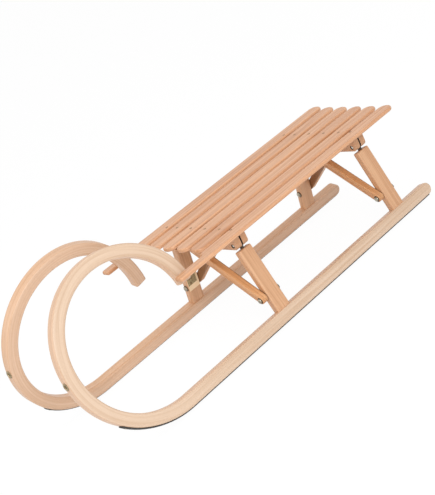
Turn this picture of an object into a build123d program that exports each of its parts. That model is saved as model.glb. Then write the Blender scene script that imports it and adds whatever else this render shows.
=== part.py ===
"""Folding horn sled: two bentwood side frames, a six-slat seat in two halves, crossed struts.

Millimetres and degrees.  X runs forward to the horns, Y to the sled's left, Z up.
Along the sled, places are first measured from the runners' rear tips; at the end everything
is moved so that the origin is on the ground, under the middle of the sled's length.
The sled is drawn open, standing on its runners.
"""
from build123d import *
import math
import os

os.makedirs("parts", exist_ok=True)

# ---------------------------------------------------------------- driving dimensions

# side frames: one bentwood bar each, in a plane that leans inwards
runner_spacing = 341.0       # between the two bars' middles, at the ground
lean = 14.0                  # of each side frame from upright
straight_length = 897.0      # from the rear tip to the start of the bend
bar_width = 28.0
bar_depth = 31.0
bar_round = 5.0
horn_arcs = [(218.0, 32.0), (185.0, 195.0)]    # centre line: radius and sweep, ground to tail
tail_arc = {"left": (146.0, 45.0), "right": (269.0, 34.5)}    # each horn was bent by itself

# steel rails under the runners
rail_width = 20.0
rail_thickness = 4.0
rail_edge = 1.5              # thickness at the rail's long edges
rail_climb = 16.5            # degrees of the horn's second arc that the rail covers
rail_screw_back = 12.0       # from the rail's front end
rail_screw_diameter = 7.0
rail_screw_proud = 0.4       # height of the domed head above the rail's crown

# posts
post_centres = {"rear": 119.0, "front": 564.0}     # from the rear tip
post_width = 40.0            # along the sled
post_thickness = 19.0
post_top = 200.0             # along the frame, from the bar's underside
post_round = 3.0

# post hinges
pin_height = 217.3           # along the frame
pin_diameter = 6.0
pin_play = 0.05              # radial, in the eye that turns on the pin
pin_head_diameter = 8.0
pin_head_height = 2.0
pin_recess_diameter = 11.0   # sunk in both faces of the beam
pin_recess_depth = 2.8
plate_thickness = 3.0
plate_width = 14.0
plate_depth = 36.0           # let into the post
eye_radius = 8.0
slot_play = 0.5              # each side of a plate that turns in its slot

# half beams
beam_thickness = 38.0        # along the sled
beam_height = 40.0
beam_under_pin = 11.0        # underside below the post hinge pin
beam_overhang = 13.0         # past the post hinge pin
beam_round = 2.0
slot_roof = 8.0              # wood left above the hinge slot
slot_reach = 22.0            # of the hinge slot, inwards past the pin
centre_gap = 2.0             # between the two halves

# centre hinges: a pair of plates let into the inner ends of the half beams
leaf_thickness = 3.0
leaf_height = 14.0           # let into the beam
leaf_length = 42.0           # from the beam's inner end
leaf_gap = 0.4               # between the two leaves
leaf_eye_radius = 5.0
centre_pin_diameter = 5.0
centre_pin_head = 2.0        # thickness of the flat head at each end
centre_pin_head_radius = 4.5

# fold
folded_gap = 5.0             # between the two bars when folded

# seat slats
slat_width = 41.5
slat_thickness = 10.0
slat_round = 4.0             # along the upper and lower edges
slat_end_round = 0.47 * slat_width    # of the corners, in plan
slat_middles = {"inner": 27.2, "middle": 81.5, "outer": 137.0}
slat_rear = {                # rear ends, sawn off unevenly
    "left": {"inner": -13.0, "middle": -9.0, "outer": -9.0},
    "right": {"inner": -16.0, "middle": -20.0, "outer": -28.0},
}
slat_front = {"inner": 662.0, "middle": 662.0, "outer": 770.0}      # front ends
slat_notch_start = 675.0     # of the outer slats' inner edge, from the rear tip
slat_notch_edge = 130.5      # that edge past the notch, outside the horn's tail
slat_notch_round = 5.0
slat_tongue_round = 6.0      # corners of the outer slats' front ends

# struts
strut_foot_height = 77.4     # along the frame
strut_depth = 20.0
strut_thickness = 18.0
strut_gap = 1.0              # from the post's face
strut_eye_rise = 22.0        # upper pivot above the centre hinge pin
strut_round = 2.5
bolt_diameter = 8.0
bolt_head_diameter = 13.0
bolt_head_height = 3.5

# tow eyes: flanged eyelets through the horns, for the tow cord
eye_angle = 60.3             # degrees along the horn's second arc
eye_flange_diameter = 19.0
eye_flange_height = 2.2
eye_bore_diameter = 8.0
eye_wall = 1.0

# ---------------------------------------------------------------- derived places

lean_sin = math.sin(math.radians(lean))
lean_cos = math.cos(math.radians(lean))

rail_half = rail_width / 2
rail_sagitta = rail_thickness - rail_edge
rail_crown = (rail_half ** 2 + rail_sagitta ** 2) / (2 * rail_sagitta)
# the crowned rail stands on the ground, which puts the bar's underside this far above it
foot_lift = rail_crown - (rail_crown - rail_thickness) * lean_cos


def frame_point(height, outward=0.0):
    """(y, z) of a point of the left side frame, by its height along the frame."""
    y = runner_spacing / 2 - height * lean_sin + outward * lean_cos
    z = foot_lift + height * lean_cos + outward * lean_sin
    return y, z


pin_y, pin_z = frame_point(pin_height)
foot_y, foot_z = frame_point(strut_foot_height)
folded_half = (bar_width + folded_gap) / 2
centre_pin_z = pin_z - folded_half
beam_bottom = pin_z - beam_under_pin
beam_top = beam_bottom + beam_height
beam_middle = beam_bottom + beam_height / 2
strut_eye_z = centre_pin_z + strut_eye_rise


def strut_eye_offset():
    """How far past the middle the strut's upper pivot lies.

    The strut is as long with the sled open as with it folded flat, where the side frames
    and the seat halves all stand upright.
    """
    rise_open = strut_eye_z - foot_z
    rise_folded = pin_y + pin_height - strut_foot_height
    across_folded = folded_half + strut_eye_rise
    square = across_folded ** 2 + rise_folded ** 2 - foot_y ** 2 - rise_open ** 2
    return square / (2 * (foot_y + rise_folded))


strut_eye_y = -strut_eye_offset()

# ---------------------------------------------------------------- helpers

frame_plane = Plane(origin=(0, runner_spacing / 2, foot_lift), x_dir=(1, 0, 0),
                    z_dir=(0, -lean_cos, -lean_sin))    # local x forward, local y up the frame


def other_side(shape):
    return mirror(shape, about=Plane.XZ)


def block(x_size, y_size, z_size, at):
    return Pos(*at) * Box(x_size, y_size, z_size)


def rod(radius, length, at):
    """Cylinder along X, centred on a point."""
    return Pos(*at) * Rot(0, 90, 0) * Cylinder(radius, length)


def round_head(diameter, height, at, facing):
    """Domed head on a seat across X, its dome forwards (facing 1) or backwards (facing -1)."""
    head = Cylinder(diameter / 2, height, align=(Align.CENTER, Align.CENTER, Align.MIN))
    head = fillet(head.edges().group_by(Axis.Z)[-1], height * 0.6)
    return Pos(*at) * Rot(0, 90 * facing, 0) * head


# ---------------------------------------------------------------- side frames

def bar_side(offset, side):
    """Line and arcs beside the bar's centre line, from the rear to the tail."""
    level = bar_depth / 2 - offset
    pieces = [Line((bar_depth / 2, level), (straight_length, level))]
    for radius, sweep_angle in horn_arcs + [tail_arc[side]]:
        last = pieces[-1]
        arc = JernArc(start=last @ 1, tangent=last % 1, radius=radius + offset, arc_size=sweep_angle)
        pieces.append(arc)
    return pieces


def bar(side):
    """Runner and horn in one bar, its long edges rounded, its rear tip half round."""
    outer = bar_side(bar_depth / 2, side)
    inner = bar_side(-bar_depth / 2, side)
    tip = ThreePointArc(outer[0] @ 0, (0, bar_depth / 2), inner[0] @ 0)
    tail = Line(outer[-1] @ 1, inner[-1] @ 1)
    face = make_face(Curve() + outer + [tail] + inner + [tip])
    solid = extrude(face, amount=bar_width / 2, both=True)
    rims = solid.edges().group_by(Axis.Z)
    solid = fillet(rims[0] + rims[-1], bar_round)
    cord_hole = Cylinder(eye_bore_diameter / 2 + eye_wall, 2 * bar_depth)
    solid -= horn_plane(eye_angle).location * cord_hole
    return frame_plane.location * solid


def horn_plane(angle):
    """Plane on the front of the horn's second arc, in frame coordinates, z straight out."""
    first_radius, first_sweep = horn_arcs[0]
    turn = math.radians(first_sweep)
    radius = horn_arcs[1][0]
    middle_x = straight_length + (first_radius - radius) * math.sin(turn)
    middle_height = bar_depth / 2 + first_radius * (1 - math.cos(turn)) + radius * math.cos(turn)
    heading = turn + math.radians(angle)
    out_x, out_height = math.sin(heading), -math.cos(heading)
    reach = radius + bar_depth / 2
    at = (middle_x + reach * out_x, middle_height + reach * out_height, 0)
    return Plane(origin=at, x_dir=(0, 0, 1), z_dir=(out_x, out_height, 0))


def rail_path():
    """The bar's underside and the start of the horn's front, as far as the rail goes."""
    line = Line((bar_depth / 2, 0), (straight_length, 0))
    first = JernArc(start=line @ 1, tangent=line % 1, radius=horn_arcs[0][0] + bar_depth / 2,
                    arc_size=horn_arcs[0][1])
    second = JernArc(start=first @ 1, tangent=first % 1, radius=horn_arcs[1][0] + bar_depth / 2,
                     arc_size=rail_climb)
    return [line, first, second]


def rail_screw_plane():
    back = math.degrees(rail_screw_back / (horn_arcs[1][0] + bar_depth / 2))
    return horn_plane(rail_climb - back)


def rail():
    """Crowned steel strip under the runner and up the foot of the horn."""
    start = Plane(origin=(bar_depth / 2, 0, 0), x_dir=(0, 0, 1), z_dir=(1, 0, 0))
    top = Line((-rail_half, 0), (rail_half, 0))
    right_edge = Line((rail_half, 0), (rail_half, rail_edge))
    crown = ThreePointArc((rail_half, rail_edge), (0, rail_thickness), (-rail_half, rail_edge))
    left_edge = Line((-rail_half, rail_edge), (-rail_half, 0))
    section = start * make_face(Curve() + [top, right_edge, crown, left_edge])
    strip = sweep(section, path=Curve() + rail_path())
    strip -= rail_screw_plane().location * Cylinder(rail_screw_diameter / 2, 4 * rail_thickness)
    return frame_plane.location * strip


def rail_screw():
    """Head of the screw that holds the rail's front end, domed, in its hole in the rail."""
    height = rail_thickness + rail_screw_proud
    head = Cylinder(rail_screw_diameter / 2, height, align=(Align.CENTER, Align.CENTER, Align.MIN))
    head = fillet(head.edges().group_by(Axis.Z)[-1], rail_screw_proud * 0.9)
    return frame_plane.location * (rail_screw_plane().location * head)


def tow_eye():
    """Eyelet with a domed flange on the horn's front, its tube right through the horn."""
    outer_radius = eye_bore_diameter / 2 + eye_wall
    flange = Cylinder(eye_flange_diameter / 2, eye_flange_height,
                      align=(Align.CENTER, Align.CENTER, Align.MIN))
    flange = fillet(flange.edges().group_by(Axis.Z)[-1], eye_flange_height * 0.8)
    tube = Cylinder(outer_radius, bar_depth, align=(Align.CENTER, Align.CENTER, Align.MAX))
    shape = flange + tube - Cylinder(eye_bore_diameter / 2, 3 * bar_depth)
    return frame_plane.location * (horn_plane(eye_angle).location * shape)


def post(x):
    """Post on the runner, with a mortise for its hinge plate and a hole for the strut bolt."""
    height = post_top - bar_depth
    shape = Box(post_width, height, post_thickness)
    shape = fillet(shape.edges().filter_by(Axis.Y) + shape.faces().sort_by(Axis.Y)[-1].edges(), post_round)
    shape = Pos(x, bar_depth + height / 2, 0) * shape
    shape -= block(plate_thickness, plate_depth, plate_width, (x, post_top - plate_depth / 2, 0))
    shape -= rod(bolt_diameter / 2, post_width + 2, (x, strut_foot_height, 0))
    return frame_plane.location * shape


def hinge_plate(x):
    """Steel tongue let into the post's top, with the eye that the post hinge pin turns in."""
    length = pin_height - post_top + plate_depth
    shape = block(plate_thickness, length, plate_width, (x, pin_height - length / 2, 0))
    shape += rod(eye_radius, plate_thickness, (x, pin_height, 0))
    shape -= rod(pin_diameter / 2 + pin_play, 2 * plate_thickness, (x, pin_height, 0))
    return frame_plane.location * shape


# ---------------------------------------------------------------- seat halves

def beam(x, leaf_side):
    """Left half beam: slotted for the post hinge plate, and mortised for its centre leaf."""
    end_y = pin_y + beam_overhang
    length = end_y - centre_gap / 2
    shape = Box(beam_thickness, length, beam_height)
    shape = fillet(shape.edges().filter_by(Axis.Y), beam_round)
    shape = Pos(x, centre_gap / 2 + length / 2, beam_middle) * shape
    corner = block(beam_thickness + 2, 2 * beam_under_pin, 2 * beam_under_pin, (x, end_y, beam_bottom))
    corner -= rod(beam_under_pin, beam_thickness + 2, (x, end_y - beam_under_pin, pin_z))
    shape -= corner
    slot_length = beam_overhang + slot_reach
    slot_height = beam_height - slot_roof
    slot_at = (x, end_y - slot_length / 2, beam_bottom + slot_height / 2)
    shape -= block(plate_thickness + 2 * slot_play, slot_length, slot_height, slot_at)
    shape -= rod(pin_diameter / 2, beam_thickness + 2, (x, pin_y, pin_z))
    for face in (-1, 1):
        recess_x = x + face * (beam_thickness - pin_recess_depth) / 2
        shape -= rod(pin_recess_diameter / 2, pin_recess_depth, (recess_x, pin_y, pin_z))
    return shape - leaf_body(x, leaf_side)


def leaf_x(x, leaf_side):
    return x + leaf_side * (leaf_thickness + leaf_gap) / 2


def leaf_body(x, leaf_side):
    """The part of a centre leaf that is let into the beam from below."""
    middle_y = centre_gap / 2 + leaf_length / 2
    at = (leaf_x(x, leaf_side), middle_y, beam_bottom + leaf_height / 2)
    return block(leaf_thickness, leaf_length, leaf_height, at)


def leaf(x, leaf_side, play):
    """Centre hinge leaf of the left half: a plate in the beam with an eye below its corner."""
    eye_x = leaf_x(x, leaf_side)
    reach = leaf_eye_radius + centre_gap / 2
    top = beam_bottom + leaf_height / 4
    web = block(leaf_thickness, reach - centre_gap / 2, top - centre_pin_z,
                (eye_x, (reach + centre_gap / 2) / 2, (top + centre_pin_z) / 2))
    shape = leaf_body(x, leaf_side) + web
    shape += rod(leaf_eye_radius, leaf_thickness, (eye_x, 0, centre_pin_z))
    return shape - rod(centre_pin_diameter / 2 + play, 2 * leaf_thickness, (eye_x, 0, centre_pin_z))


def centre_pin(x):
    """Pin through both leaf eyes, with a flat head at each end."""
    reach = leaf_thickness + leaf_gap / 2
    shape = rod(centre_pin_diameter / 2, 2 * reach, (x, 0, centre_pin_z))
    for end in (-1, 1):
        at = (x + end * (reach + centre_pin_head / 2), 0, centre_pin_z)
        shape += rod(centre_pin_head_radius, centre_pin_head, at)
    return shape


def slat(side, name):
    """Board with rounded ends and edges; the outer ones are notched beside the horn's tail."""
    rear, front = slat_rear[side][name], slat_front[name]
    middle_z = beam_top + slat_thickness / 2
    board = block(front - rear, slat_width, slat_thickness, ((rear + front) / 2, slat_middles[name], middle_z))
    if name == "outer":
        inner_edge = slat_middles[name] - slat_width / 2
        notch_at = ((slat_notch_start + front) / 2, (inner_edge + slat_notch_edge) / 2, middle_z)
        board -= block(front - slat_notch_start, slat_notch_edge - inner_edge, slat_thickness, notch_at)
        board = fillet(board.edges().filter_by(Axis.Z).group_by(Axis.X)[1], slat_notch_round)
    front_round = slat_tongue_round if name == "outer" else slat_end_round
    board = fillet(board.edges().filter_by(Axis.Z).group_by(Axis.X)[0], slat_end_round)
    board = fillet(board.edges().filter_by(Axis.Z).group_by(Axis.X)[-1], front_round)
    faces = board.faces().sort_by(Axis.Z)
    return fillet(faces[0].edges() + faces[-1].edges(), slat_round)


# ---------------------------------------------------------------- struts

def strut(inner_x):
    """Left strut: from the post's front, up past the middle, to the front of the right beam."""
    rise = strut_eye_z - foot_z
    run = foot_y - strut_eye_y
    length = math.hypot(rise, run)
    shape = Box(strut_thickness, length, strut_depth)
    for end in (-1, 1):
        shape += rod(strut_depth / 2, strut_thickness, (0, end * length / 2, 0))
    rims = shape.edges().group_by(Axis.X)
    shape = fillet(rims[0] + rims[-1], strut_round)
    for end in (-1, 1):
        shape -= rod(bolt_diameter / 2 + pin_play, strut_thickness + 2, (0, end * length / 2, 0))
    slope = math.degrees(math.atan2(rise, run))
    middle = (inner_x + strut_thickness / 2, (foot_y + strut_eye_y) / 2, (foot_z + strut_eye_z) / 2)
    return Pos(*middle) * Rot(-slope, 0, 0) * shape


def foot_bolt(post_x):
    """Bolt through the post and the strut's foot, its head in front, a round nut behind."""
    back = post_x - post_width / 2
    front = post_x + post_width / 2 + strut_gap + strut_thickness
    shape = rod(bolt_diameter / 2, front - back, ((back + front) / 2, foot_y, foot_z))
    shape += round_head(bolt_head_diameter, bolt_head_height, (front, foot_y, foot_z), 1)
    return shape + round_head(bolt_head_diameter, bolt_head_height, (back, foot_y, foot_z), -1)


def eye_bolt(inner_x):
    """Short bolt in the strut's upper eye, its head in front, its end flush with the inner face."""
    middle_x = inner_x + strut_thickness / 2
    shape = rod(bolt_diameter / 2, strut_thickness, (middle_x, strut_eye_y, strut_eye_z))
    front = (inner_x + strut_thickness, strut_eye_y, strut_eye_z)
    return shape + round_head(bolt_head_diameter, bolt_head_height, front, 1)


def hinge_bolt(x):
    """Post hinge pin, pressed in the beam and turning in the plate's eye, a head in each recess."""
    reach = beam_thickness / 2 - pin_recess_depth
    shape = rod(pin_diameter / 2, 2 * reach, (x, pin_y, pin_z))
    for end in (-1, 1):
        shape += round_head(pin_head_diameter, pin_head_height, (x + end * reach, pin_y, pin_z), end)
    return shape


# ---------------------------------------------------------------- the sled

def about_post(shape, x):
    """A left strut or bolt turned half way round, about the upright line between its posts."""
    return Pos(x, 0, 0) * Rot(0, 0, 180) * Pos(-x, 0, 0) * shape


nodes = {}
for side in ("left", "right"):
    place = (lambda shape: shape) if side == "left" else other_side
    nodes[f"{side}_runner"] = place(bar(side))
    nodes[f"{side}_rail"] = place(rail())
    nodes[f"{side}_rail_screw"] = place(rail_screw())
    nodes[f"{side}_tow_eye"] = place(tow_eye())
    leaf_side = 1 if side == "left" else -1
    leaf_play = 0 if side == "left" else pin_play
    for end, x in post_centres.items():
        nodes[f"{side}_{end}_post"] = place(post(x))
        nodes[f"{side}_{end}_hinge_plate"] = place(hinge_plate(x))
        nodes[f"{side}_{end}_hinge_bolt"] = place(hinge_bolt(x))
        nodes[f"{side}_{end}_beam"] = place(beam(x, leaf_side))
        nodes[f"{side}_{end}_centre_leaf"] = place(leaf(x, leaf_side, leaf_play))
        face_x = x + post_width / 2 + strut_gap
        parts = {"strut": strut(face_x), "foot_bolt": foot_bolt(x), "eye_bolt": eye_bolt(face_x)}
        for name, shape in parts.items():
            nodes[f"{side}_{end}_{name}"] = shape if side == "left" else about_post(shape, x)
    for name in slat_middles:
        nodes[f"{side}_{name}_slat"] = place(slat(side, name))
for end, x in post_centres.items():
    nodes[f"{end}_centre_pin"] = centre_pin(x)

boxes = [shape.bounding_box() for shape in nodes.values()]
rear_x = min(box.min.X for box in boxes)
front_x = max(box.max.X for box in boxes)
middle_x = (rear_x + front_x) / 2
for name, shape in nodes.items():
    export_step(Pos(-middle_x, 0, 0) * shape, f"parts/{name}.step")

print("length", round(front_x - rear_x, 3), "middle", round(middle_x, 3), "nodes", len(nodes))
print("beam bottom, top", round(beam_bottom, 3), round(beam_top, 3), "seat top", round(beam_top + slat_thickness, 3))
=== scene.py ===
import math

import bpy
import numpy as np
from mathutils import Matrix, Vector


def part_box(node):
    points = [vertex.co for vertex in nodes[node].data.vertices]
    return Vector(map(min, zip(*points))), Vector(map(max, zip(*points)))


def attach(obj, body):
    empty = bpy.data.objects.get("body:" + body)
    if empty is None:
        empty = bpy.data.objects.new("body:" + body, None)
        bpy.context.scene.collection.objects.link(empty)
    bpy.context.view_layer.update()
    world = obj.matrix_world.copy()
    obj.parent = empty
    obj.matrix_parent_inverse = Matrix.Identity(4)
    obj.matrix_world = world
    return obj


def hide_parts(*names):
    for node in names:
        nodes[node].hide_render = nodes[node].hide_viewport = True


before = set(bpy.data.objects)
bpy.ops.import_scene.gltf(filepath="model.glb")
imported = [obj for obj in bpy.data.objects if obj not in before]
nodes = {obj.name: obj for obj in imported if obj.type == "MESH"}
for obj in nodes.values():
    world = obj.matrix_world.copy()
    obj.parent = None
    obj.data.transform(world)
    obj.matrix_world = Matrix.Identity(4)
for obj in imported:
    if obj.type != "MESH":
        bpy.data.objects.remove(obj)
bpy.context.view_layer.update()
print("sled frame loaded,", len(nodes), "CAD nodes")

sides = {"left": 1, "right": -1}
postCentres = {"rear": 0.119, "front": 0.564}    # forward from the runners' rear tips
mm = 0.001
lean = math.radians(14.0)
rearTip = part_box("left_runner")[0].x
sharpFrom = math.radians(35.0)    # edges that turn by more than this are drawn hard


# Node helpers

def feed(tree, socket, value):
    # a plain value is set, anything else is another node's output and is linked
    if isinstance(value, (int, float, tuple)):
        socket.default_value = value
    else:
        tree.links.new(value, socket)


def mathNode(tree, operation, first, second=None, third=None, clamp=False):
    node = tree.nodes.new("ShaderNodeMath")
    node.operation = operation
    node.use_clamp = clamp
    for socket, value in zip(node.inputs, (first, second, third)):
        if value is not None:
            feed(tree, socket, value)
    return node.outputs[0]


def vectorNode(tree, operation, first, second=None):
    node = tree.nodes.new("ShaderNodeVectorMath")
    node.operation = operation
    for socket, value in zip(node.inputs, (first, second)):
        if value is not None:
            feed(tree, socket, value)
    return node.outputs["Value" if operation in ("DOT_PRODUCT", "LENGTH") else "Vector"]


def noiseNode(tree, vector, scale, detail=2.0, roughness=0.5):
    node = tree.nodes.new("ShaderNodeTexNoise")
    node.inputs["Scale"].default_value = scale
    node.inputs["Detail"].default_value = detail
    node.inputs["Roughness"].default_value = roughness
    tree.links.new(vector, node.inputs["Vector"])
    return node.outputs["Fac"]


def spread(tree, value, low, high):
    # value from low to high becomes 0 to 1, smoothly
    node = tree.nodes.new("ShaderNodeMapRange")
    node.interpolation_type = "SMOOTHSTEP"
    node.inputs["From Min"].default_value = low
    node.inputs["From Max"].default_value = high
    tree.links.new(value, node.inputs["Value"])
    return node.outputs["Result"]


def mixColour(tree, share, first, second, blend="MIX"):
    node = tree.nodes.new("ShaderNodeMix")
    node.data_type = "RGBA"
    node.blend_type = blend
    sockets = {s.name: s for s in node.inputs if s.enabled}
    for label, value in (("Factor", share), ("A", first), ("B", second)):
        feed(tree, sockets[label], value)
    return next(s for s in node.outputs if s.enabled)


def mixShader(tree, share, first, second):
    node = tree.nodes.new("ShaderNodeMixShader")
    for socket, value in zip(node.inputs, (share, first, second)):
        tree.links.new(value, socket)
    return node.outputs[0]


def carriedVector(tree, name):
    # a vector that the piece's own mesh carries at its corners
    node = tree.nodes.new("ShaderNodeAttribute")
    node.attribute_name = name
    return node.outputs["Vector"]


def splitVector(tree, vector):
    node = tree.nodes.new("ShaderNodeSeparateXYZ")
    tree.links.new(vector, node.inputs[0])
    return node.outputs


def startMaterial(name):
    material = bpy.data.materials.new(name)
    material.use_nodes = True
    return material, material.node_tree, material.node_tree.nodes["Principled BSDF"]


def bumpFrom(tree, shader, height, depth):
    node = tree.nodes.new("ShaderNodeBump")
    node.inputs["Strength"].default_value = 1.0
    node.inputs["Distance"].default_value = depth
    tree.links.new(height, node.inputs["Height"])
    tree.links.new(node.outputs["Normal"], shader.inputs["Normal"])


# Camera, lamps and floor

camera = {
    "aheadOfTip": 2.127331,    # forward from the runners' rear tips
    "aside": 2.434081, "above": 1.322486,
    "turn": (0.407630, 0.033975, 0.562320, 0.718665),   # quaternion, w first
    "lens": 94.909, "sensor": 36.0, "near": 0.05, "far": 60.0,
}

studio = {
    "skyLight": 0.62,
    "keyPlace": (1.3, 2.6, 1.7), "keySize": 2.2, "keyPower": 56.0,
    "fillPlace": (2.4, -1.2, 1.9), "fillSize": 2.4, "fillPower": 22.0,
    "topPlace": (-0.5, 0.3, 2.8), "topSize": 2.6, "topPower": 16.0,
    "aim": (0.0, 0.0, 0.15),
    "floorSpan": 12.0,
    "floorPaint": (0.93, 0.93, 0.93, 1.0), "floorRoughness": 0.9, "floorSpecular": 0.1,
    "white": (1.0, 1.0, 1.0, 1.0),
    "glowStrength": 1.012,
    "floorGlow": 0.94,    # how much of the seen floor is plain white, over its own shading
}


def lookAlong(thing, place, aim):
    # turns a lamp so that its -Z axis points from place to aim
    back = np.array(place) - np.array(aim)
    thing.location = place
    thing.rotation_euler = (
        math.atan2(math.hypot(back[0], back[1]), back[2]),
        0.0,
        math.atan2(back[0], -back[1]),
    )


def addCamera():
    data = bpy.data.cameras.new("camera")
    data.lens = camera["lens"]
    data.sensor_width = camera["sensor"]
    data.clip_start = camera["near"]
    data.clip_end = camera["far"]
    thing = bpy.data.objects.new("camera", data)
    thing.rotation_mode = "QUATERNION"
    thing.location = (rearTip + camera["aheadOfTip"], camera["aside"], camera["above"])
    thing.rotation_quaternion = camera["turn"]
    bpy.context.scene.collection.objects.link(thing)
    bpy.context.scene.camera = thing


def addLamp(name):
    data = bpy.data.lights.new(name, "AREA")
    data.shape = "DISK"
    data.size = studio[name + "Size"]
    data.energy = studio[name + "Power"]
    thing = bpy.data.objects.new(name, data)
    lookAlong(thing, studio[name + "Place"], studio["aim"])
    bpy.context.scene.collection.objects.link(thing)


def seenDirectly(tree):
    # 1 for rays that come from the camera, a reflection or glass, 0 for rays that light the object
    path = tree.nodes.new("ShaderNodeLightPath").outputs
    seen = mathNode(tree, "MAXIMUM", path["Is Camera Ray"], path["Is Glossy Ray"])
    return mathNode(tree, "MAXIMUM", seen, path["Is Transmission Ray"])


def addSky():
    world = bpy.data.worlds.new("studioSky")
    world.use_nodes = True
    tree = world.node_tree
    lit = tree.nodes["Background"]
    seen = tree.nodes.new("ShaderNodeBackground")
    for sky, strength in ((lit, studio["skyLight"]), (seen, 1.0)):
        sky.inputs["Color"].default_value = studio["white"]
        sky.inputs["Strength"].default_value = strength
    both = mixShader(tree, seenDirectly(tree), lit.outputs[0], seen.outputs[0])
    tree.links.new(both, tree.nodes["World Output"].inputs["Surface"])
    bpy.context.scene.world = world


def addFloor():
    half = studio["floorSpan"] / 2
    mesh = bpy.data.meshes.new("floor")
    mesh.from_pydata(
        [(-half, -half, 0), (half, -half, 0), (half, half, 0), (-half, half, 0)], [], [(0, 1, 2, 3)]
    )
    floor = bpy.data.objects.new("floor", mesh)
    bpy.context.scene.collection.objects.link(floor)
    paint, tree, surface = startMaterial("floorPaint")
    surface.inputs["Base Color"].default_value = studio["floorPaint"]
    surface.inputs["Roughness"].default_value = studio["floorRoughness"]
    surface.inputs["Specular IOR Level"].default_value = studio["floorSpecular"]
    glow = tree.nodes.new("ShaderNodeEmission")
    glow.inputs["Strength"].default_value = studio["glowStrength"]
    share = mathNode(tree, "MULTIPLY", seenDirectly(tree), studio["floorGlow"])
    both = mixShader(tree, share, surface.outputs[0], glow.outputs[0])
    tree.links.new(both, tree.nodes["Material Output"].inputs["Surface"])
    mesh.materials.append(paint)


addCamera()
addSky()
for lamp in ("key", "fill", "top"):
    addLamp(lamp)
addFloor()
bpy.context.scene.view_settings.view_transform = "Standard"
print("camera, lamps and floor placed")


# Shared shader groups

grainScale = {
    # how fast each noise changes along the fibres and across them, per metre
    "ringBend": (3.2, 14.0, 14.0), "streaks": (5.5, 440.0, 440.0),
    "flecks": (210.0, 1500.0, 1500.0), "tone": (2.4, 105.0, 105.0),
    "pores": 1600.0,
    "pith": (0.0, 0.045, 0.083),    # the pith lies this far outside the piece
}


def startGroup(name, inputs, outputs):
    # inputs and outputs: name -> (socket type, default or None)
    group = bpy.data.node_groups.new(name, "ShaderNodeTree")
    for label, (kind, value) in inputs.items():
        socket = group.interface.new_socket(label, in_out="INPUT", socket_type=kind)
        if value is not None:
            socket.default_value = value
    for label, kind in outputs.items():
        group.interface.new_socket(label, in_out="OUTPUT", socket_type=kind)
    return group, group.nodes.new("NodeGroupInput"), group.nodes.new("NodeGroupOutput")


def beechGrainGroup():
    # grain from a point whose x runs along the fibres, in metres:
    # rings are the distance from a far pith, bent by a slow noise, taken as a repeating wave;
    # streaks and flecks are noises drawn out along the fibres
    group, given, result = startGroup(
        "beechGrain",
        {
            "Vector": ("NodeSocketVector", None),
            "Ring Width": ("NodeSocketFloat", 0.0035),
            "Ring Bend": ("NodeSocketFloat", 0.012),
        },
        {
            "Rings": "NodeSocketFloat",
            "Streaks": "NodeSocketFloat",
            "Flecks": "NodeSocketFloat",
            "Tone": "NodeSocketFloat",
        },
    )
    point = given.outputs["Vector"]

    def drawnOut(kind, detail, roughness=0.5):
        drawn = vectorNode(group, "MULTIPLY", point, grainScale[kind])
        return noiseNode(group, drawn, 1.0, detail, roughness)

    slow = drawnOut("ringBend", 2.0)
    bend = mathNode(group, "MULTIPLY", slow, given.outputs["Ring Bend"])
    fromPith = vectorNode(group, "ADD", point, grainScale["pith"])
    radius = vectorNode(group, "LENGTH", vectorNode(group, "MULTIPLY", fromPith, (0.0, 1.0, 1.0)))
    count = mathNode(group, "DIVIDE", mathNode(group, "ADD", radius, bend), given.outputs["Ring Width"])
    saw = mathNode(group, "FRACT", count)
    rings = mathNode(group, "POWER", saw, 3.0)
    fadeEnd = mathNode(group, "SUBTRACT", 1.0, spread(group, saw, 0.93, 1.0))
    rings = mathNode(group, "MULTIPLY", rings, fadeEnd)
    group.links.new(rings, result.inputs["Rings"])
    group.links.new(drawnOut("streaks", 3.0, 0.6), result.inputs["Streaks"])
    group.links.new(spread(group, drawnOut("flecks", 1.0), 0.60, 0.70), result.inputs["Flecks"])
    group.links.new(drawnOut("tone", 2.0, 0.55), result.inputs["Tone"])
    return group


def endGrainGroup():
    # 1 where a face looks along the fibres, 0 on the sides; pores are small round spots there
    group, given, result = startGroup(
        "endGrain",
        {
            "Vector": ("NodeSocketVector", None),
            "Normal": ("NodeSocketVector", None),
            "Fibres": ("NodeSocketVector", (1.0, 0.0, 0.0)),
        },
        {"Mask": "NodeSocketFloat", "Pores": "NodeSocketFloat"},
    )
    facing = vectorNode(group, "DOT_PRODUCT", given.outputs["Normal"], given.outputs["Fibres"])
    facing = mathNode(group, "ABSOLUTE", facing)
    group.links.new(spread(group, facing, 0.45, 0.92), result.inputs["Mask"])
    pores = noiseNode(group, given.outputs["Vector"], grainScale["pores"], 1.0)
    group.links.new(spread(group, pores, 0.55, 0.72), result.inputs["Pores"])
    return group


def metalWearGroup():
    # fine scratches are a noise drawn out one way, smudges a slow round noise
    group, given, result = startGroup(
        "metalWear",
        {"Vector": ("NodeSocketVector", None), "Along": ("NodeSocketVector", (60.0, 900.0, 900.0))},
        {"Scratches": "NodeSocketFloat", "Smudges": "NodeSocketFloat"},
    )
    drawn = vectorNode(group, "MULTIPLY", given.outputs["Vector"], given.outputs["Along"])
    scratches = noiseNode(group, drawn, 1.0, 3.0, 0.65)
    smudges = noiseNode(group, given.outputs["Vector"], 140.0, 3.0, 0.55)
    group.links.new(spread(group, scratches, 0.42, 0.66), result.inputs["Scratches"])
    group.links.new(spread(group, smudges, 0.38, 0.64), result.inputs["Smudges"])
    return group


grainGroup = beechGrainGroup()
endGroup = endGrainGroup()
wearGroup = metalWearGroup()


# Materials

def placeGroup(tree, group, values):
    node = tree.nodes.new("ShaderNodeGroup")
    node.node_tree = group
    for label, value in values.items():
        feed(tree, node.inputs[label], value)
    return node.outputs


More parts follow.
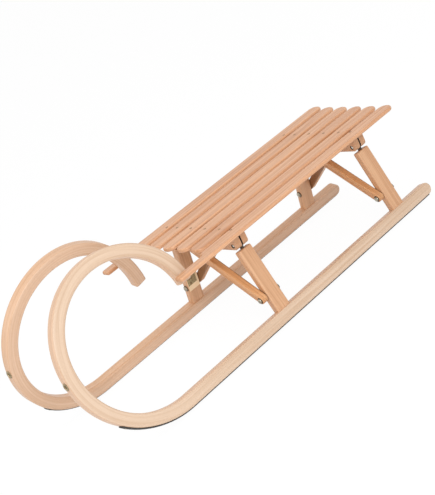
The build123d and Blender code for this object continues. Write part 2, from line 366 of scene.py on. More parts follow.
wood = {
    # each runner's bend entry is a painted shade: a tint multiplied into the faces that do not look sideways
    "leftRunner": {"pale": (0.685, 0.515, 0.38, 1), "deep": (0.555, 0.375, 0.245, 1), "ringWidth": 0.0050,
                   "bend": (1.04, 0.92, 0.83, 1)},
    "rightRunner": {"pale": (0.69, 0.475, 0.33, 1), "deep": (0.56, 0.34, 0.205, 1), "ringWidth": 0.0048,
                    "bend": (1.02, 0.96, 0.89, 1)},
    "slat": {"pale": (0.73, 0.41, 0.228, 1), "deep": (0.49, 0.222, 0.102, 1), "ringWidth": 0.0044},
    "post": {"pale": (0.70, 0.415, 0.235, 1), "deep": (0.49, 0.245, 0.118, 1), "ringWidth": 0.0040},
    "beam": {"pale": (0.60, 0.335, 0.185, 1), "deep": (0.50, 0.255, 0.125, 1), "ringWidth": 0.0033},
    "strut": {"pale": (0.73, 0.395, 0.18, 1), "deep": (0.48, 0.205, 0.075, 1), "ringWidth": 0.0036},
    # the slot colour is painted shade in the beams' hinge slots; its half width along the sled and its top
    # follow it
    "slotShade": (0.10, 0.06, 0.04, 1), "slotHalf": (0.0021, 0.0026), "slotTop": (0.2365, 0.2375),
    # the next four entries are painted shade along the struts' edges next to the posts: its colour, where it
    # lies from each post's middle, its reach and its strength
    "gapShadeColour": (0.20, 0.085, 0.035, 1), "gapShadeAt": 0.021, "gapShadeReach": (0.0010, 0.0042),
    "gapShadeShare": 0.80,
    "fleck": (0.33, 0.155, 0.07, 1),
    "endTone": (0.44, 0.225, 0.11, 1),
    "toneShare": 0.46, "streakShare": 0.40, "ringShare": 0.42, "fleckShare": 0.16, "endShare": 0.35,
    "roughness": 0.38, "streakRoughness": 0.12, "endRoughness": 0.15,
    "coat": 0.20, "coatRoughness": 0.24, "bumpDepth": 0.00006,
}


def fibreTurn(fibres):
    # turns an axis in the plane across the sled on to x; the sled's own x axis stays
    if abs(fibres[0]) > 0.9:
        return (0.0, 0.0, 0.0)
    return (math.atan2(fibres[1], fibres[2]), math.pi / 2, 0.0)


def nearPosts(tree, forward, offset, full, none):
    # 1 within full of either post's middle plus the offset, 0 beyond none, along the sled
    gaps = []
    for post in postCentres.values():
        gap = mathNode(tree, "SUBTRACT", forward, rearTip + post + offset)
        gaps.append(mathNode(tree, "ABSOLUTE", gap))
    return mathNode(tree, "SUBTRACT", 1.0, spread(tree, mathNode(tree, "MINIMUM", *gaps), full, none))


def beechMaterial(name, kind, fibres=None, shift=(0.0, 0.0, 0.0)):
    # fibres is the grain's direction, or None where the piece carries it as its own attribute
    look = wood[kind]
    material, tree, shader = startMaterial(name)
    placing = tree.nodes.new("ShaderNodeTexCoord")
    if fibres is None:
        point = carriedVector(tree, "grain")
        along = carriedVector(tree, "fibres")
    else:
        mapping = tree.nodes.new("ShaderNodeMapping")
        mapping.inputs["Rotation"].default_value = fibreTurn(fibres)
        mapping.inputs["Location"].default_value = shift
        tree.links.new(placing.outputs["Object"], mapping.inputs["Vector"])
        point = mapping.outputs["Vector"]
        along = tuple(fibres)
    grain = placeGroup(tree, grainGroup, {"Vector": point, "Ring Width": look["ringWidth"]})
    normal = placing.outputs["Normal"]
    cut = placeGroup(tree, endGroup, {"Vector": point, "Normal": normal, "Fibres": along})
    streakTone = spread(tree, grain["Streaks"], 0.30, 0.75)
    tone = mathNode(tree, "MULTIPLY", spread(tree, grain["Tone"], 0.36, 0.66), wood["toneShare"])
    tone = mathNode(tree, "MULTIPLY_ADD", streakTone, wood["streakShare"], tone)
    tone = mathNode(tree, "MULTIPLY_ADD", grain["Rings"], wood["ringShare"], tone, clamp=True)
    colour = mixColour(tree, tone, look["pale"], look["deep"])
    flecks = mathNode(tree, "MULTIPLY", grain["Flecks"], wood["fleckShare"])
    colour = mixColour(tree, flecks, colour, wood["fleck"])
    pores = mathNode(tree, "MULTIPLY_ADD", cut["Pores"], wood["endShare"], wood["endShare"])
    colour = mixColour(tree, mathNode(tree, "MULTIPLY", cut["Mask"], pores), colour, wood["endTone"])
    if "bend" in look:
        # painted shade: faces that do not look sideways (top and bottom along the straight, inner and outer
        # round the bend) get a warmer, slightly darker tint than the flat sides
        sideways = (0.0, math.cos(lean), math.sin(lean) * (1 if kind == "leftRunner" else -1))
        flatSide = mathNode(tree, "ABSOLUTE", vectorNode(tree, "DOT_PRODUCT", normal, sideways))
        roundFaceShade = mathNode(tree, "SUBTRACT", 1.0, spread(tree, flatSide, 0.25, 0.85))
        colour = mixColour(tree, roundFaceShade, colour, look["bend"], "MULTIPLY")
    if kind == "beam":
        # painted shade on the walls of the hinge slots, below the slats, where the narrow slots lie dark
        parts = splitVector(tree, placing.outputs["Object"])
        slotShadeMask = nearPosts(tree, parts[0], 0.0, *wood["slotHalf"])
        below = mathNode(tree, "SUBTRACT", 1.0, spread(tree, parts[2], *wood["slotTop"]))
        colour = mixColour(tree, mathNode(tree, "MULTIPLY", slotShadeMask, below), colour, wood["slotShade"])
    if kind == "strut":
        # painted shade along the strut's edge next to the posts, for the dark narrow gap between strut and
        # post
        parts = splitVector(tree, placing.outputs["Object"])
        facing = 1 if name.startswith("left") else -1
        gapShade = nearPosts(tree, parts[0], facing * wood["gapShadeAt"], *wood["gapShadeReach"])
        gapShade = mathNode(tree, "MULTIPLY", gapShade, wood["gapShadeShare"])
        colour = mixColour(tree, gapShade, colour, wood["gapShadeColour"])
    tree.links.new(colour, shader.inputs["Base Color"])
    rough = mathNode(tree, "MULTIPLY_ADD", streakTone, wood["streakRoughness"], wood["roughness"])
    rough = mathNode(tree, "MULTIPLY_ADD", cut["Mask"], wood["endRoughness"], rough)
    tree.links.new(rough, shader.inputs["Roughness"])
    shader.inputs["Coat Weight"].default_value = wood["coat"]
    shader.inputs["Coat Roughness"].default_value = wood["coatRoughness"]
    height = mathNode(tree, "MULTIPLY_ADD", grain["Rings"], -0.5, streakTone)
    height = mathNode(tree, "MULTIPLY_ADD", grain["Flecks"], -0.4, height)
    bumpFrom(tree, shader, height, wood["bumpDepth"])
    return material


metal = {
    "zincBolt": {"clean": (0.46, 0.42, 0.34, 1), "dull": (0.24, 0.20, 0.145, 1), "rough": 0.20},
    "brightPin": {"clean": (0.86, 0.82, 0.74, 1), "dull": (0.60, 0.55, 0.46, 1), "rough": 0.24},
    "oiledPlate": {"clean": (0.150, 0.118, 0.095, 1), "dull": (0.060, 0.045, 0.034, 1), "rough": 0.42},
    "darkWasher": {"clean": (0.13, 0.095, 0.065, 1), "dull": (0.055, 0.038, 0.026, 1), "rough": 0.46},
    "agedBrass": {"clean": (0.46, 0.36, 0.22, 1), "dull": (0.20, 0.15, 0.09, 1), "rough": 0.36},
    "brownedScrew": {"clean": (0.30, 0.19, 0.11, 1), "dull": (0.15, 0.09, 0.05, 1), "rough": 0.42},
}


wear = {"scratches": 0.30, "smudges": 0.55, "smudgeRoughness": 0.14, "bumpDepth": 0.00003}


def metalMaterial(name):
    look = metal[name]
    material, tree, shader = startMaterial(name)
    placing = tree.nodes.new("ShaderNodeTexCoord")
    marks = placeGroup(tree, wearGroup, {"Vector": placing.outputs["Object"]})
    smudged = mathNode(tree, "MULTIPLY", marks["Smudges"], wear["smudges"])
    worn = mathNode(tree, "MULTIPLY_ADD", marks["Scratches"], wear["scratches"], smudged)
    tree.links.new(mixColour(tree, worn, look["clean"], look["dull"]), shader.inputs["Base Color"])
    shader.inputs["Metallic"].default_value = 1.0
    rough = mathNode(tree, "MULTIPLY_ADD", marks["Smudges"], wear["smudgeRoughness"], look["rough"])
    tree.links.new(rough, shader.inputs["Roughness"])
    bumpFrom(tree, shader, marks["Scratches"], wear["bumpDepth"])
    return material


railPaint = {
    "lacquer": (0.022, 0.019, 0.017, 1),
    "faded": (0.055, 0.050, 0.046, 1),
    "bare": (0.42, 0.40, 0.37, 1),
    "drawn": (26.0, 1100.0, 1100.0), "scuffShare": 0.35,
    "roughness": 0.52, "smudgeRoughness": 0.15, "specular": 0.25, "bumpDepth": 0.00004,
}


def railMaterial():
    # black lacquer, faded in places, with a few fine scuffs down to the steel
    material, tree, shader = startMaterial("blackRail")
    placing = tree.nodes.new("ShaderNodeTexCoord")
    marks = placeGroup(
        tree, wearGroup, {"Vector": placing.outputs["Object"], "Along": railPaint["drawn"]})
    smudges = marks["Smudges"]
    scuffed = mathNode(tree, "MULTIPLY", spread(tree, marks["Scratches"], 0.80, 1.0), smudges)
    scuffed = mathNode(tree, "MULTIPLY", scuffed, railPaint["scuffShare"])
    colour = mixColour(tree, smudges, railPaint["lacquer"], railPaint["faded"])
    tree.links.new(mixColour(tree, scuffed, colour, railPaint["bare"]), shader.inputs["Base Color"])
    tree.links.new(scuffed, shader.inputs["Metallic"])
    rough = mathNode(tree, "MULTIPLY_ADD", smudges, railPaint["smudgeRoughness"], railPaint["roughness"])
    tree.links.new(rough, shader.inputs["Roughness"])
    shader.inputs["Specular IOR Level"].default_value = railPaint["specular"]
    bumpFrom(tree, shader, marks["Scratches"], railPaint["bumpDepth"])
    return material


# middles of the struts' lower and upper bolts, sideways on their own side and up
strutFoot = (0.151776, 0.079613)
strutEye = (-0.030513, 0.220858)


def giveMaterial(nodeName, material):
    for place in nodes[nodeName].material_slots:
        place.material = material


materials = {name: metalMaterial(name) for name in metal}
materials["blackRail"] = railMaterial()
for side in sides:
    materials[side + "Runner"] = beechMaterial(side + "RunnerBeech", side + "Runner")
strutRun, strutRise = strutFoot[0] - strutEye[0], strutEye[1] - strutFoot[1]
strutLength = math.hypot(strutRun, strutRise)
for side, sign in sides.items():
    upPost = (0.0, -sign * math.sin(lean), math.cos(lean))
    upStrut = (0.0, -sign * strutRun / strutLength, strutRise / strutLength)
    materials[side + "Post"] = beechMaterial(side + "PostBeech", "post", upPost, (0.3 * sign, 0.0, 0.02))
    materials[side + "Strut"] = beechMaterial(side + "StrutBeech", "strut", upStrut, (0.2 * sign, 0.01, 0.0))
materials["slat"] = beechMaterial("slatBeech", "slat", (1.0, 0.0, 0.0))
materials["beam"] = beechMaterial("beamBeech", "beam", (0.0, 1.0, 0.0), (0.1, 0.02, 0.01))

kinds = {
    "_beam": "beam", "_slat": "slat", "_hinge_plate": "oiledPlate", "_centre_leaf": "oiledPlate",
    "_centre_pin": "zincBolt", "_bolt": "zincBolt", "_rail": "blackRail", "_rail_screw": "zincBolt",
    "_tow_eye": "agedBrass",
}
for name in nodes:
    side = name.split("_")[0]
    if name.endswith("_post"):
        giveMaterial(name, materials[side + "Post"])
    elif name.endswith("_strut"):
        giveMaterial(name, materials[side + "Strut"])
    elif name.endswith("_runner"):
        giveMaterial(name, materials[side + "Runner"])
    else:
        found = next(kind for tail, kind in kinds.items() if name.endswith(tail))
        giveMaterial(name, materials[found])
print("materials made and given to the CAD nodes")


# Mesh helpers

def makePiece(name, points, quads, fans, material):
    mesh = bpy.data.meshes.new(name)
    corners = np.concatenate([quads.ravel(), fans.ravel()]).astype(np.int32)
    starts = np.concatenate([np.arange(len(quads)) * 4, len(quads) * 4 + np.arange(len(fans)) * 3])
    mesh.vertices.add(len(points))
    mesh.vertices.foreach_set("co", points.astype(np.float32).ravel())
    mesh.loops.add(len(corners))
    mesh.loops.foreach_set("vertex_index", corners)
    mesh.polygons.add(len(starts))
    mesh.polygons.foreach_set("loop_start", starts.astype(np.int32))
    mesh.update(calc_edges=True)
    mesh.validate()
    mesh.shade_smooth()
    mesh.set_sharp_from_angle(angle=sharpFrom)
    mesh.materials.append(material)
    piece = bpy.data.objects.new(name, mesh)
    bpy.context.scene.collection.objects.link(piece)
    return piece


def carry(mesh, name, vectors):
    # writes a vector at each corner of the mesh, for carriedVector to read
    attribute = mesh.attributes.new(name, "FLOAT_VECTOR", "POINT")
    attribute.data.foreach_set("vector", vectors.astype(np.float32).ravel())


def tubeFaces(rows, columns):
    # quads of a grid of rows by columns whose columns close on themselves
    row = np.arange(rows - 1)[:, None]
    column = np.arange(columns)[None, :]
    following = (column + 1) % columns
    quads = np.stack(
        [row * columns + column, row * columns + following, (row + 1) * columns + following,
         (row + 1) * columns + column], axis=-1)
    return quads.reshape(-1, 4)


def capFaces(pole, ring, columns, turned):
    # a fan from a pole to a ring of the grid
    column = np.arange(columns)
    following = (column + 1) % columns
    first, second = (following, column) if turned else (column, following)
    return np.stack([np.full(columns, pole), ring * columns + first, ring * columns + second], axis=-1)


# Runners: the bar's section carried along the runner and round the horn

bar = {
    "spacing": 0.341, "lift": 0.0045124, "width": 0.028, "depth": 0.031, "rounding": 0.005,
    "straight": 0.897, "horn": ((0.218, 32.0), (0.185, 195.0)),
    "tails": {"left": (0.146, 45.0), "right": (0.269, 34.5)},
    "easedEnd": 0.0016, "leastDepth": 0.0004, "cornerSteps": 7,
    "firstStation": 0.00002, "straightStep": 0.035, "hornStep": 0.0055,
    "eyeAngle": 60.3, "eyeHole": 0.005, "drillReach": (-60.0, 20.0),
    "lineSteps": 1500, "grainShift": (1.7, 0.03),    # the shift gives the two bars different grain
}


def alongBar(distance, arcs):
    # point and heading on the bar's middle line; each arc adds its chord, for as much as is passed
    start = bar["straight"]
    x = np.minimum(distance, start)
    height = np.full_like(x, bar["depth"] / 2)
    heading = np.zeros_like(x)
    turned = 0.0
    for radius, sweep in arcs:
        sweep = math.radians(sweep)
        passed = np.clip((distance - start) / radius, 0.0, sweep)
        x = x + radius * (np.sin(turned + passed) - math.sin(turned))
        height = height + radius * (math.cos(turned) - np.cos(turned + passed))
        heading = heading + passed
        start += radius * sweep
        turned += sweep
    return x, height, heading, start


def barArcs(side):
    return bar["horn"] + (bar["tails"][side],)


def barLength(side):
    return alongBar(np.zeros(1), barArcs(side))[3]


def barSection():
    # rounded rectangle, counter-clockwise seen against the heading; across and up from the line
    halfWidth, halfDepth, rounding = bar["width"] / 2, bar["depth"] / 2, bar["rounding"]
    angles = np.linspace(0.0, math.pi / 2, bar["cornerSteps"])
    flat = np.array([0.06, 0.5, 0.94])
    rows = []
    for quarter in range(4):
        signs = ((1, 1), (-1, 1), (-1, -1), (1, -1))[quarter]
        centre = np.array([signs[0] * (halfWidth - rounding), signs[1] * (halfDepth - rounding)])
        turned = angles + quarter * math.pi / 2
        corner = centre + rounding * np.stack([np.cos(turned), np.sin(turned)], axis=-1)
        nextSigns = ((-1, 1), (-1, -1), (1, -1), (1, 1))[quarter]
        nextCentre = np.array([nextSigns[0] * (halfWidth - rounding), nextSigns[1] * (halfDepth - rounding)])
        lastTurn = turned[-1]
        nextStart = nextCentre + rounding * np.array([math.cos(lastTurn), math.sin(lastTurn)])
        side = corner[-1] + (nextStart - corner[-1]) * flat[:, None]
        rows += [corner, side]
    return np.concatenate(rows)


def easing(distance, radius):
    # how far a rounded edge has drawn in, at a distance from the end
    left = np.clip(radius - distance, 0.0, radius)
    return radius - np.sqrt(np.maximum(radius ** 2 - left ** 2, 0.0))


def framePoint(x, height, across, sign):
    # a point of a leaning side frame: forward, up the frame, outwards
    y = bar["spacing"] / 2 - height * math.sin(lean) + across * math.cos(lean)
    z = bar["lift"] + height * math.cos(lean) + across * math.sin(lean)
    return np.stack([x + rearTip, sign * y, z], axis=-1)


def runnerPiece(side):
    sign = sides[side]
    length = barLength(side)
    halfWidth, halfDepth, rounding = bar["width"] / 2, bar["depth"] / 2, bar["rounding"]
    tip = halfDepth * (1 - np.cos(np.linspace(0.0, math.pi / 2, 16)))
    tip[0] = bar["firstStation"]
    tail = length - rounding * (1 - np.sin(np.linspace(0.0, math.pi / 2, 12)))
    tail[-1] = length
    straight = np.arange(halfDepth + 0.02, bar["straight"], bar["straightStep"])
    horn = np.arange(bar["straight"], tail[0], bar["hornStep"])
    stations = np.unique(np.concatenate([tip, straight, horn, tail]))
    x, height, heading, _ = alongBar(stations, barArcs(side))
    section = barSection()
    across, up = section[:, 0], section[:, 1]
    # rear tip: half round seen from the side, its rim rounded like the long edges
    fromTip = stations[:, None]
    tipWidth = (halfWidth - easing(fromTip, rounding)) / halfWidth
    endLeft = length - stations[:, None]
    tailWidth = (halfWidth - easing(endLeft, rounding)) / halfWidth
    wide = across[None, :] * np.minimum(tipWidth, tailWidth)
    pastFlat = np.maximum(np.abs(wide) - (halfWidth - rounding), 0.0)
    drawnIn = rounding - np.sqrt(np.maximum(rounding ** 2 - pastFlat ** 2, 0.0))
    roundRadius = halfDepth - drawnIn
    reach = np.clip(halfDepth - fromTip, 0.0, None)
    tipDepth = np.sqrt(np.maximum(roundRadius ** 2 - reach ** 2, bar["leastDepth"] ** 2)) / roundRadius
    tailDepth = (halfDepth - easing(endLeft, bar["easedEnd"])) / halfDepth
    deep = up[None, :] * tipDepth * tailDepth
    onX = x[:, None] - deep * np.sin(heading)[:, None]
    onHeight = height[:, None] + deep * np.cos(heading)[:, None]
    points = framePoint(onX, onHeight, wide, sign)
    rows, columns = points.shape[:2]
    flat = points.reshape(-1, 3)
    poles = np.stack([points[0].mean(0), points[-1].mean(0)])
    flat = np.concatenate([flat, poles])
    turned = sign > 0
    quads = tubeFaces(rows, columns)
    if not turned:
        quads = quads[:, ::-1]
    fans = np.concatenate([
        capFaces(rows * columns, 0, columns, turned),
        capFaces(rows * columns + 1, rows - 1, columns, not turned)])
    return makePiece(side + "_runner_bar", flat, quads, fans, materials[side + "Runner"])


def grainAlongBar(mesh, side):
    # each corner's place in the unbent bar, found from the nearest point of the bar's middle line:
    # distance along, depth and width; and the heading there, which is the way the fibres run
    sign = sides[side]
    corners = np.empty(len(mesh.vertices) * 3, np.float32)
    mesh.vertices.foreach_get("co", corners)
    x, y, z = corners.astype(float).reshape(-1, 3).T
    forward, outwards, upwards = x - rearTip, sign * y - bar["spacing"] / 2, z - bar["lift"]
    height = upwards * math.cos(lean) - outwards * math.sin(lean)
    wide = outwards * math.cos(lean) + upwards * math.sin(lean)
    distance = np.linspace(0.0, barLength(side), bar["lineSteps"])
    lineX, lineHeight, lineHeading, _ = alongBar(distance, barArcs(side))
    nearest = np.argmin(
        (forward[:, None] - lineX) ** 2 + (height[:, None] - lineHeight) ** 2, axis=1)
    heading = lineHeading[nearest]
    ahead, above = forward - lineX[nearest], height - lineHeight[nearest]
    deep = above * np.cos(heading) - ahead * np.sin(heading)
    shiftAlong, shiftAcross = bar["grainShift"]
    carry(mesh, "grain", np.stack(
        [distance[nearest] + shiftAlong * sign, deep, wide + shiftAcross * sign], axis=-1))
    rise = np.sin(heading)
    carry(mesh, "fibres", np.stack(
        [np.cos(heading), -sign * math.sin(lean) * rise, math.cos(lean) * rise], axis=-1))


# Turned fittings: a profile of radius and distance carried round an axis

def turnedSolid(profile, place, axis, columns=36, ring=False):
    # point = place + radius (cos first + sin second) + distance axis; a ring's profile closes on itself
    axis = np.array(axis, dtype=float) / np.linalg.norm(axis)
    helper = np.array([0.0, 0.0, 1.0]) if abs(axis[2]) < 0.9 else np.array([1.0, 0.0, 0.0])
    first = np.cross(helper, axis)
    first /= np.linalg.norm(first)
    second = np.cross(axis, first)
    profile = np.array(profile, dtype=float) * mm
    rim = profile if ring else profile[1:-1]
    angle = np.linspace(0.0, 2 * math.pi, columns, endpoint=False)[None, :, None]
    around = np.cos(angle) * first + np.sin(angle) * second
    points = np.array(place) + rim[:, 0, None, None] * around + rim[:, 1, None, None] * axis
    points = points.reshape(-1, 3)
    rows = len(rim)
    if ring:
        quads = tubeFaces(rows + 1, columns) % (rows * columns)
        return points, quads, np.zeros((0, 3), dtype=int)
    poles = np.array(place) + profile[[0, -1], 1, None] * axis
    fans = np.concatenate([
        capFaces(len(points), 0, columns, True),
        capFaces(len(points) + 1, rows - 1, columns, False)])
    return np.concatenate([points, poles]), tubeFaces(rows, columns), fans


def fittedPiece(name, solids, material, body, stands=()):
    # several closed surfaces in one mesh, each one's corners counted on from the last
    points, quads, fans, count = [], [], [], 0
    for solidPoints, solidQuads, solidFans in solids:
        points.append(solidPoints)
        quads.append(solidQuads + count)
        fans.append(solidFans + count)
        count += len(solidPoints)
    piece = makePiece(name, np.concatenate(points), np.concatenate(quads), np.concatenate(fans), material)
    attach(piece, body)
    if stands:
        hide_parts(*stands)


def quarterRound(radius, low, high, steps=6):
    # profile points from a rim at radius and low up to the axis at high, a quarter of an ellipse
    turn = np.linspace(0.0, math.pi / 2, steps + 1)
    return [(radius * math.cos(t), low + (high - low) * math.sin(t)) for t in turn[:-1]] + [(0.0, high)]


fitting = {
    # millimetres, apart from pinHeight; postHalf, strutFar, strutNear and pinReach count from
    # the post's middle, forward or back
    "postHalf": 20.0, "strutFar": 39.0, "strutNear": 21.0,
    "shank": 4.0, "shankPast": 1.5, "head": 6.4, "headRim": 1.0, "headTop": 3.7,
    "washer": 8.0, "washerHole": 4.1, "washerThickness": 1.0, "washerEdge": 0.25,
    "nutAcross": 7.4, "nutHeight": 2.6,
    "pin": 3.0, "pinReach": 16.2, "pinPast": 0.4, "pinHead": 4.0, "pinTop": 2.0,
    "pinHeight": 0.2173,    # up the side frame from the ground, in metres
    "cupOuter": 5.46, "cupInner": 4.45, "cupTop": 2.9, "cupFoot": 0.02, "cupEdge": 0.3,
}


def boltHead(place, facing):
    # low round head on a washer: a short rim, then a quarter-ellipse dome
    low = fitting["washerThickness"]
    profile = [(0.0, low), (fitting["head"], low), (fitting["head"], low + fitting["headRim"])]
    profile += quarterRound(fitting["head"], low + fitting["headRim"], low + fitting["headTop"])[1:]
    return turnedSolid(profile, place, (facing, 0.0, 0.0))


def capNut(place, facing):
    # six-sided nut with its corners turned off, and a dome on it
    low = fitting["washerThickness"]
    high = low + fitting["nutHeight"]
    across = fitting["nutAcross"]
    body = [(0.0, low), (across, low), (across, high - 0.5), (across - 1.0, high), (0.0, high)]
    narrow = across - 2.4
    dome = [(0.0, high - 0.2), (narrow, high - 0.2)] + quarterRound(narrow, high + 0.3, high + 2.2)
    axis = (facing, 0.0, 0.0)
    return turnedSolid(body, place, axis, 6), turnedSolid(dome, place, axis)


def washerRing(place, facing):
    outer, hole = fitting["washer"], fitting["washerHole"]
    thickness, edge = fitting["washerThickness"], fitting["washerEdge"]
    profile = [
        (outer, 0.0), (outer, thickness - edge), (outer - edge, thickness), (hole, thickness), (hole, 0.0)]
    return turnedSolid(profile, place, (facing, 0.0, 0.0), ring=True)


def shankRod(place, start, end):
    radius = fitting["shank"]
    low, high = min(start, end), max(start, end)
    profile = [(0.0, low), (radius, low), (radius, high), (0.0, high)]
    return turnedSolid(profile, place, (1.0, 0.0, 0.0))


def pinHead(place, facing):
    rim = fitting["pinTop"] * 0.35
    profile = [(0.0, 0.0), (fitting["pinHead"], 0.0), (fitting["pinHead"], rim)]
    profile += quarterRound(fitting["pinHead"], rim, fitting["pinTop"])[1:]
    return turnedSolid(profile, place, (facing, 0.0, 0.0))


def pinCup(place, facing):
    outer, inner, top = fitting["cupOuter"], fitting["cupInner"], fitting["cupTop"]
    foot, edge = fitting["cupFoot"], fitting["cupEdge"]
    profile = [
        (outer, foot), (outer, top - edge), (outer - edge, top),
        (inner + edge, top), (inner, top - edge), (inner, foot)]
    return turnedSolid(profile, place, (facing, 0.0, 0.0), ring=True)


pinY = bar["spacing"] / 2 - fitting["pinHeight"] * math.sin(lean)
pinZ = bar["lift"] + fitting["pinHeight"] * math.cos(lean)
for side, sign in sides.items():
    washers, cups = [], []
    near, far = sign * fitting["strutNear"], sign * fitting["strutFar"]
    past = sign * fitting["shankPast"]
    for end, centre in postCentres.items():
        middle = centre + rearTip
        foot = (middle, sign * strutFoot[0], strutFoot[1])
        eye = (middle, sign * strutEye[0], strutEye[1])
        front = (middle + sign * fitting["strutFar"] * mm, foot[1], foot[2])
        back = (middle - sign * fitting["postHalf"] * mm, foot[1], foot[2])
        eyeFront = (front[0], eye[1], eye[2])
        prefix = side + "_" + end
        shank = shankRod(foot, -sign * fitting["postHalf"] - past, far + past)
        fittedPiece(
            prefix + "_foot_bolt_zinc", [shank, boltHead(front, sign), *capNut(back, -sign)],
            materials["zincBolt"], side + "_frame", [prefix + "_foot_bolt"])
        washers += [washerRing(front, sign), washerRing(back, -sign)]
        fittedPiece(
            prefix + "_eye_bolt_zinc", [shankRod(eye, near, far + past), boltHead(eyeFront, sign)],
            materials["zincBolt"], prefix + "_strut_arm", [prefix + "_eye_bolt"])
        fittedPiece(
            prefix + "_eye_washer", [washerRing(eyeFront, sign)],
            materials["darkWasher"], prefix + "_strut_arm")
        reach, radius = fitting["pinReach"], fitting["pin"]
        tip = reach + fitting["pinPast"]
        pin = [(0.0, -tip), (radius, -tip), (radius, tip), (0.0, tip)]
        pinParts = [turnedSolid(pin, (middle, sign * pinY, pinZ), (1.0, 0.0, 0.0))]
        for facing in (-1, 1):
            seat = (middle + facing * reach * mm, sign * pinY, pinZ)
            pinParts.append(pinHead(seat, facing))
            cups.append(pinCup(seat, facing))
        fittedPiece(
            prefix + "_hinge_bolt_zinc", pinParts,
            materials["brightPin"], side + "_seat", [prefix + "_hinge_bolt"])
    fittedPiece(side + "_foot_washers", washers, materials["darkWasher"], side + "_frame")
    fittedPiece(side + "_pin_cups", cups, materials["darkWasher"], side + "_seat")
print("bolts, pins and washers turned")


# Tow eyelets: a rolled flange on the horn's front, its tube through to the back

eyelet = [
    (5.0, -30.9), (5.0, 0.0), (9.3, 0.0), (9.5, 0.5), (9.3, 1.1), (8.6, 1.7), (7.6, 2.1),
    (6.6, 2.2), (5.6, 1.9), (4.8, 1.3), (4.3, 0.5), (4.05, -0.6), (4.0, -2.0), (4.0, -30.9),
]


def hornFront(angle, sign):
    # place and outward direction on the front of the horn's second arc
    (firstRadius, firstSweep), (radius, _) = bar["horn"]
    turn = math.radians(firstSweep)
    middleX = bar["straight"] + (firstRadius - radius) * math.sin(turn)
    middleHeight = bar["depth"] / 2 + firstRadius * (1 - math.cos(turn)) + radius * math.cos(turn)
    heading = turn + math.radians(angle)
    outX, outHeight = math.sin(heading), -math.cos(heading)
    reach = radius + bar["depth"] / 2
    place = framePoint(middleX + reach * outX, middleHeight + reach * outHeight, 0.0, sign)
    return place, (outX, -sign * outHeight * math.sin(lean), outHeight * math.cos(lean))


def boreHole(piece, place, out):
    # takes a cylinder out of a piece, so that the cord hole goes through
    radius = bar["eyeHole"] / mm
    low, high = bar["drillReach"]
    drill = turnedSolid([(0.0, low), (radius, low), (radius, high), (0.0, high)], place, out, 48)
    cutter = makePiece("drill", *drill, piece.data.materials[0])
    cut = piece.modifiers.new("cordHole", "BOOLEAN")
    cut.object = cutter
    cut.solver = "EXACT"
    evaluated = piece.evaluated_get(bpy.context.evaluated_depsgraph_get())
    bored = bpy.data.meshes.new_from_object(evaluated)
    piece.modifiers.clear()
    piece.data = bored
    bpy.data.objects.remove(cutter)
    bored.shade_smooth()
    bored.set_sharp_from_angle(angle=sharpFrom)


for side, sign in sides.items():
    piece = runnerPiece(side)
    place, out = hornFront(bar["eyeAngle"], sign)
    boreHole(piece, place, out)
    grainAlongBar(piece.data, side)
    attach(piece, side + "_frame")
    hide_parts(side + "_runner")
    print(piece.name, len(piece.data.polygons), "faces")
    fittedPiece(
        side + "_tow_eyelet", [turnedSolid(eyelet, place, out, 40, ring=True)],
        materials["agedBrass"], side + "_frame", [side + "_tow_eye"])


# Slat screws: countersunk heads, one where each slat crosses each beam

screw = {
    "ahead": 0.008, "across": {"inner": 0.0272, "middle": 0.0815, "outer": 0.1230},
    "top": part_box("left_inner_slat")[1].z,
}


def screwHead(place):
    # a cone let into the wood, a shallow dish on top and a small dark pit in its middle
    profile = [
        (0.0, -3.2), (1.4, -3.2), (3.4, -0.25), (3.4, 0.12), (3.15, 0.22),
        (1.5, 0.12), (1.2, -0.7), (0.0, -0.9)]
    return turnedSolid(profile, place, (0.0, 0.0, 1.0), 24)


for side, sign in sides.items():
    heads = []
    for centre in postCentres.values():
        for across in screw["across"].values():
            forward = centre + rearTip + screw["ahead"]
            heads.append(screwHead((forward, sign * across, screw["top"])))
    fittedPiece(side + "_slat_screws", heads, materials["brownedScrew"], side + "_seat")
print("screws set")


# Blank label on the inner face of the right front post

label = {
    "rear": 0.5462, "front": 0.5825, "low": 0.0690, "high": 0.1165, "corner": 0.0015,
    "face": -0.0095, "proud": 0.0006,
    "fieldRear": 0.5520, "fieldFront": 0.5822, "fieldLow": 0.0845, "edge": 0.0004,
    "paper": (0.94, 0.72, 0.46, 1), "field": (0.40, 0.315, 0.150, 1),
    "fieldDeep": (0.19, 0.115, 0.045, 1), "bumpDepth": 0.00002,
}


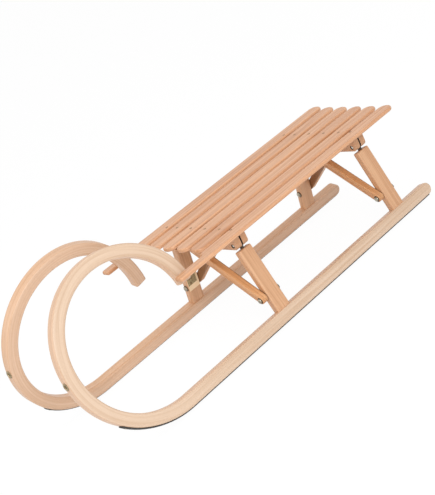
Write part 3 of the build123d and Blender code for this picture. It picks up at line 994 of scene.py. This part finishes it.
def labelMaterial():
    # pale paper with a plain olive field; the piece carries its own flat coordinates in metres
    material, tree, shader = startMaterial("blankLabel")
    own = carriedVector(tree, "flat")
    forward, height, _ = splitVector(tree, own)
    edge, rear, low = label["edge"], label["fieldRear"], label["fieldLow"]
    inside = mathNode(
        tree, "MULTIPLY", spread(tree, forward, rear - edge, rear + edge),
        spread(tree, height, low - edge, low + edge))
    beyond = spread(tree, forward, label["fieldFront"] - 2 * edge, label["fieldFront"])
    inside = mathNode(tree, "MULTIPLY", inside, mathNode(tree, "SUBTRACT", 1.0, beyond))
    mottle = noiseNode(tree, own, 160.0, 3.0, 0.6)
    fibre = noiseNode(tree, own, 1400.0, 2.0, 0.6)
    field = mixColour(tree, spread(tree, mottle, 0.38, 0.62), label["field"], label["fieldDeep"])
    paper = mixColour(tree, mathNode(tree, "MULTIPLY", fibre, 0.25), label["paper"], wood["endTone"])
    tree.links.new(mixColour(tree, inside, paper, field), shader.inputs["Base Color"])
    tree.links.new(mathNode(tree, "MULTIPLY_ADD", mottle, 0.2, 0.35), shader.inputs["Roughness"])
    bumpFrom(tree, shader, fibre, label["bumpDepth"])
    return material


def labelPiece():
    # rounded sheet: an outline, drawn in a little at the top face, with a pole on each face
    turn = np.linspace(0.0, math.pi / 2, 6)
    outline = []
    corner = label["corner"]
    front, rear = label["front"] - corner, label["rear"] + corner
    high, low = label["high"] - corner, label["low"] + corner
    for quarter, (forward, height) in enumerate(((front, high), (rear, high), (rear, low), (front, low))):
        angle = turn + quarter * math.pi / 2
        outline.append(np.stack(
            [forward + corner * np.cos(angle), height + corner * np.sin(angle)], axis=-1))
    outline = np.concatenate(outline)
    middle = np.array([(label["rear"] + label["front"]) / 2, (label["low"] + label["high"]) / 2])
    levels = np.array([[0.0, 1.0], [-0.7, 1.0], [-1.0, 0.992]])    # how proud, and how wide
    flat = np.stack([middle + (outline - middle) * shrink for shrink in levels[:, 1]])
    across = label["face"] + levels[:, 0] * label["proud"]
    flat = np.concatenate([flat.reshape(-1, 2), middle[None], middle[None]])
    across = np.concatenate([
        np.repeat(across, len(outline)), [label["face"], label["face"] - label["proud"]]])
    points = framePoint(flat[:, 0], flat[:, 1], across, -1)
    columns = len(outline)
    rows = len(levels)
    count = rows * columns
    quads = tubeFaces(rows, columns)[:, ::-1]
    fans = np.concatenate([
        capFaces(count, 0, columns, False), capFaces(count + 1, rows - 1, columns, True)])
    piece = makePiece("right_front_label", points, quads, fans, labelMaterial())
    carry(piece.data, "flat", np.concatenate([flat, np.zeros((len(flat), 1))], axis=1))
    return piece


piece = labelPiece()
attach(piece, "right_frame")
print("label placed")
